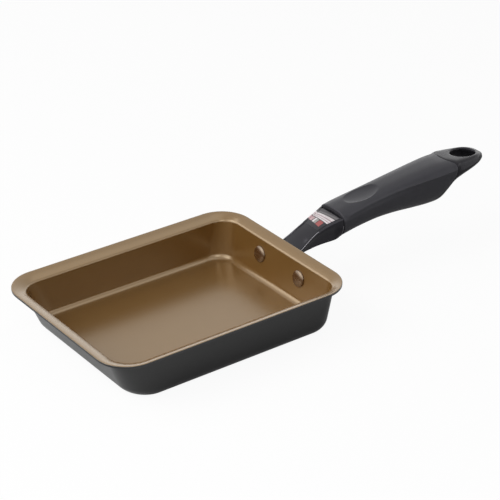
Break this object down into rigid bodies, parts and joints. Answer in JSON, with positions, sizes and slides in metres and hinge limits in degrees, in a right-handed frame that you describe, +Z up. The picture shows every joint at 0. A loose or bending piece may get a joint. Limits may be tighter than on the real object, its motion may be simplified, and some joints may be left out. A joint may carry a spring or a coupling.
{
  "type": "tamagoyaki pan",
  "caption": "Rectangular rolled-omelette frying pan with a wide sloping lip and a long moulded handle on a riveted bracket, with a hanging hole in the handle's tail.",
  "frame": {"origin": "centre of the pan's flat base, on the plane it rests on, under the middle of the rim", "axes": "+X along the handle, away from the pan; +Z up; the part is symmetric about the plane y = 0"},
  "size_m": [0.3719, 0.1476, 0.0633],
  "materials": {
    "tan_coating": "satin non-stick coating inside, gloss black paint outside",
    "tan_rivet": "satin non-stick coating",
    "black_steel": "semi-gloss black",
    "gloss_black": "gloss black",
    "hard_black_plastic": "semi-gloss",
    "soft_black_grip": "matte, fine-grained",
    "zinc_steel": "bright zinc plate",
    "label_paper": "plain printed paper, no text"
  },
  "bodies": {
    "root": {"pan_body": "tan_coating", "rivets": "tan_rivet", "mounting_bracket": "black_steel", "neck_guard": "gloss_black", "handle_core": "hard_black_plastic", "grip_sleeve": "soft_black_grip", "handle_screw": "zinc_steel", "flat_washer": "zinc_steel", "spring_washer": "zinc_steel", "tang_nut": "zinc_steel", "neck_label": "label_paper"}
  },
  "joints": []
}
